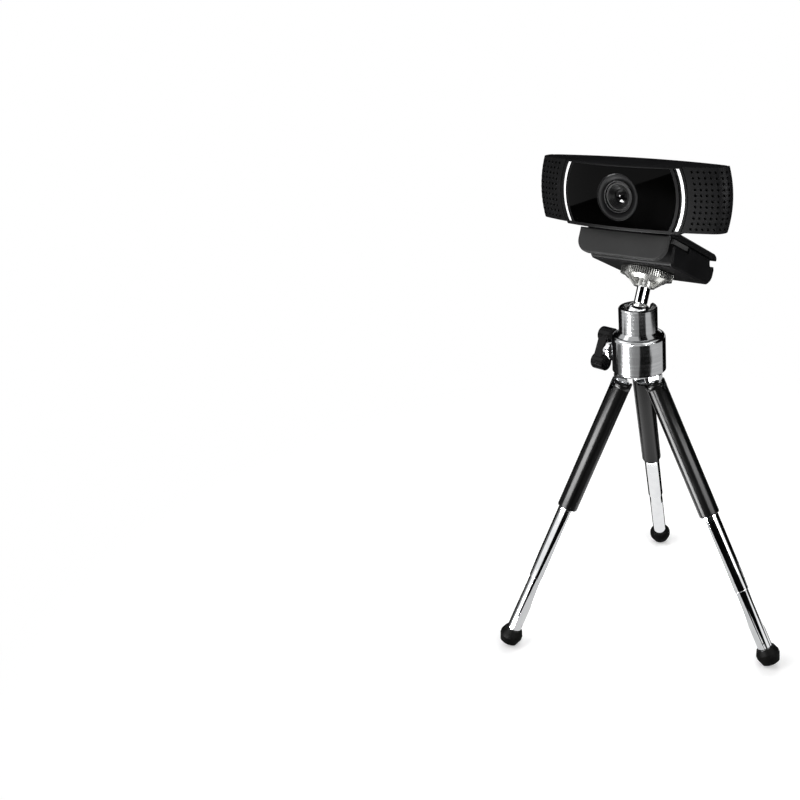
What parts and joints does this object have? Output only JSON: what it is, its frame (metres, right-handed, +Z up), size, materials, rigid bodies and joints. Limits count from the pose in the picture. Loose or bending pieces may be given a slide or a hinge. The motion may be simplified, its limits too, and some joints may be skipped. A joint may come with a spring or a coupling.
{
  "type": "webcam on tripod",
  "caption": "Wide black webcam with perforated ends on a folding monitor clip, carried by a ball head on a small tripod with telescopic legs.",
  "frame": {"origin": "On the floor under the upright axis of the stand.", "axes": "+Z up, the lens looks towards -Y, +X to the right when facing the lens side from the front."},
  "size_m": [0.1245, 0.1332, 0.2305],
  "materials": {
    "gloss_black": "gloss",
    "satin_black": "satin",
    "grille_black": "fine matte",
    "light_guide": "frosted white",
    "lens_black": "anodised black",
    "lens_glass": "coated glass",
    "board": "solder mask",
    "lip_grey": "fine matte",
    "rubber": "moulded",
    "steel": "machined",
    "brass": "turned",
    "turned_aluminium": "turned satin",
    "bright_chrome": "polished",
    "knob_plastic": "moulded gloss",
    "seat_nylon": "moulded",
    "black_enamel": "semi-gloss"
  },
  "bodies": {
    "stand": {"head_body": "turned_aluminium", "leg_spider": "turned_aluminium", "spider_screws": "steel"},
    "ball_seat": {"ball_seat": "seat_nylon"},
    "ball_stem": {"ball_stem": "bright_chrome"},
    "locking_wheel": {"locking_wheel": "bright_chrome"},
    "lock_knob": {"lock_knob": "knob_plastic", "lock_screw": "steel"},
    "clip_arm": {"clip_arm": "satin_black", "arm_pad": "rubber", "thread_insert": "brass"},
    "clip_base": {"clip_base": "satin_black", "front_lip": "lip_grey", "lip_pad": "rubber", "arm_hinge_pin": "steel", "tilt_hinge_pin": "steel", "tilt_washers": "steel"},
    "webcam": {"front_bezel": "satin_black", "face_plate": "gloss_black", "lens_ring": "lens_black", "focus_housing": "lens_black", "image_sensor": "board", "main_board": "board", "indicator_leds": "light_guide", "left_light_pipe": "light_guide", "right_light_pipe": "light_guide", "left_mic_grille": "grille_black", "right_mic_grille": "grille_black", "microphone_boards": "board", "rear_housing": "satin_black", "housing_screws": "steel", "cable_gland": "rubber"},
    "lens": {"lens_barrel": "lens_black", "lens_glass": "lens_glass"},
    "rear_leg": {"rear_leg_clevis": "bright_chrome", "rear_leg_pin": "steel", "rear_outer_tube": "black_enamel"},
    "rear_middle": {"rear_middle_tube": "bright_chrome", "rear_middle_plug": "seat_nylon"},
    "rear_lower": {"rear_lower_tube": "bright_chrome", "rear_lower_plug": "seat_nylon", "rear_foot": "rubber"},
    "front_left_leg": {"front_left_leg_clevis": "bright_chrome", "front_left_leg_pin": "steel", "front_left_outer_tube": "black_enamel"},
    "front_left_middle": {"front_left_middle_tube": "bright_chrome", "front_left_middle_plug": "seat_nylon"},
    "front_left_lower": {"front_left_lower_tube": "bright_chrome", "front_left_lower_plug": "seat_nylon", "front_left_foot": "rubber"},
    "front_right_leg": {"front_right_leg_clevis": "bright_chrome", "front_right_leg_pin": "steel", "front_right_outer_tube": "black_enamel"},
    "front_right_middle": {"front_right_middle_tube": "bright_chrome", "front_right_middle_plug": "seat_nylon"},
    "front_right_lower": {"front_right_lower_tube": "bright_chrome", "front_right_lower_plug": "seat_nylon", "front_right_foot": "rubber"}
  },
  "joints": [
    {"name": "ball_pan", "type": "hinge", "parent": "stand", "child": "ball_seat", "pos_m": [0, 0, 0.15973], "axis": [0, 0, 1], "continuous": true},
    {"name": "ball_tilt", "type": "hinge", "parent": "ball_seat", "child": "ball_stem", "pos_m": [0, 0, 0.15973], "axis": [1, 0, 0], "range_deg": [-7, 63]},
    {"name": "wheel_spin", "type": "hinge", "parent": "ball_stem", "child": "locking_wheel", "pos_m": [0, 0.00878, 0.17624], "axis": [0, 0.4695, 0.8829], "continuous": true},
    {"name": "clip_turn", "type": "hinge", "parent": "ball_stem", "child": "clip_arm", "pos_m": [0, 0.01127, 0.18092], "axis": [0, 0.4695, 0.8829], "continuous": true},
    {"name": "clip_fold", "type": "hinge", "parent": "clip_arm", "child": "clip_base", "pos_m": [0, 0.0341, 0.17806], "axis": [-1, 0, 0], "range_deg": [0, 100]},
    {"name": "camera_tilt", "type": "hinge", "parent": "clip_base", "child": "webcam", "pos_m": [0, -0.00569, 0.19865], "axis": [1, 0, 0], "range_deg": [-18, 10]},
    {"name": "lens_focus", "type": "slide", "parent": "webcam", "child": "lens", "axis": [0, -0.9978, 0.0663], "range_m": [0, 0.0004], "stiffness_N_per_m": 100},
    {"name": "knob_turn", "type": "hinge", "parent": "stand", "child": "lock_knob", "pos_m": [-0.01386, 0.00195, 0.13903], "axis": [-0.9903, 0.1392, 0], "continuous": true},
    {"name": "rear_leg_fold", "type": "hinge", "parent": "stand", "child": "rear_leg", "pos_m": [-0.00367, 0.00865, 0.12673], "axis": [-0.9205, -0.3907, 0], "range_deg": [0, 27]},
    {"name": "rear_middle_slide", "type": "slide", "parent": "rear_leg", "child": "rear_middle", "axis": [-0.1774, 0.4179, -0.891], "range_m": [-0.0315, 0.006]},
    {"name": "rear_lower_slide", "type": "slide", "parent": "rear_middle", "child": "rear_lower", "axis": [-0.1774, 0.4179, -0.891], "range_m": [-0.0345, 0]},
    {"name": "front_left_leg_fold", "type": "hinge", "parent": "stand", "child": "front_left_leg", "pos_m": [-0.00566, -0.00751, 0.12673], "axis": [0.7986, -0.6018, 0], "range_deg": [0, 27]},
    {"name": "front_left_middle_slide", "type": "slide", "parent": "front_left_leg", "child": "front_left_middle", "axis": [-0.2732, -0.3626, -0.891], "range_m": [-0.0375, 0]},
    {"name": "front_left_lower_slide", "type": "slide", "parent": "front_left_middle", "child": "front_left_lower", "axis": [-0.2732, -0.3626, -0.891], "range_m": [-0.0285, 0.006]},
    {"name": "front_right_leg_fold", "type": "hinge", "parent": "stand", "child": "front_right_leg", "pos_m": [0.00933, -0.00115, 0.12673], "axis": [0.1219, 0.9925, 0], "range_deg": [0, 27]},
    {"name": "front_right_middle_slide", "type": "slide", "parent": "front_right_leg", "child": "front_right_middle", "axis": [0.4506, -0.0553, -0.891], "range_m": [-0.0375, 0]},
    {"name": "front_right_lower_slide", "type": "slide", "parent": "front_right_middle", "child": "front_right_lower", "axis": [0.4506, -0.0553, -0.891], "range_m": [-0.0285, 0.006]}
  ]
}
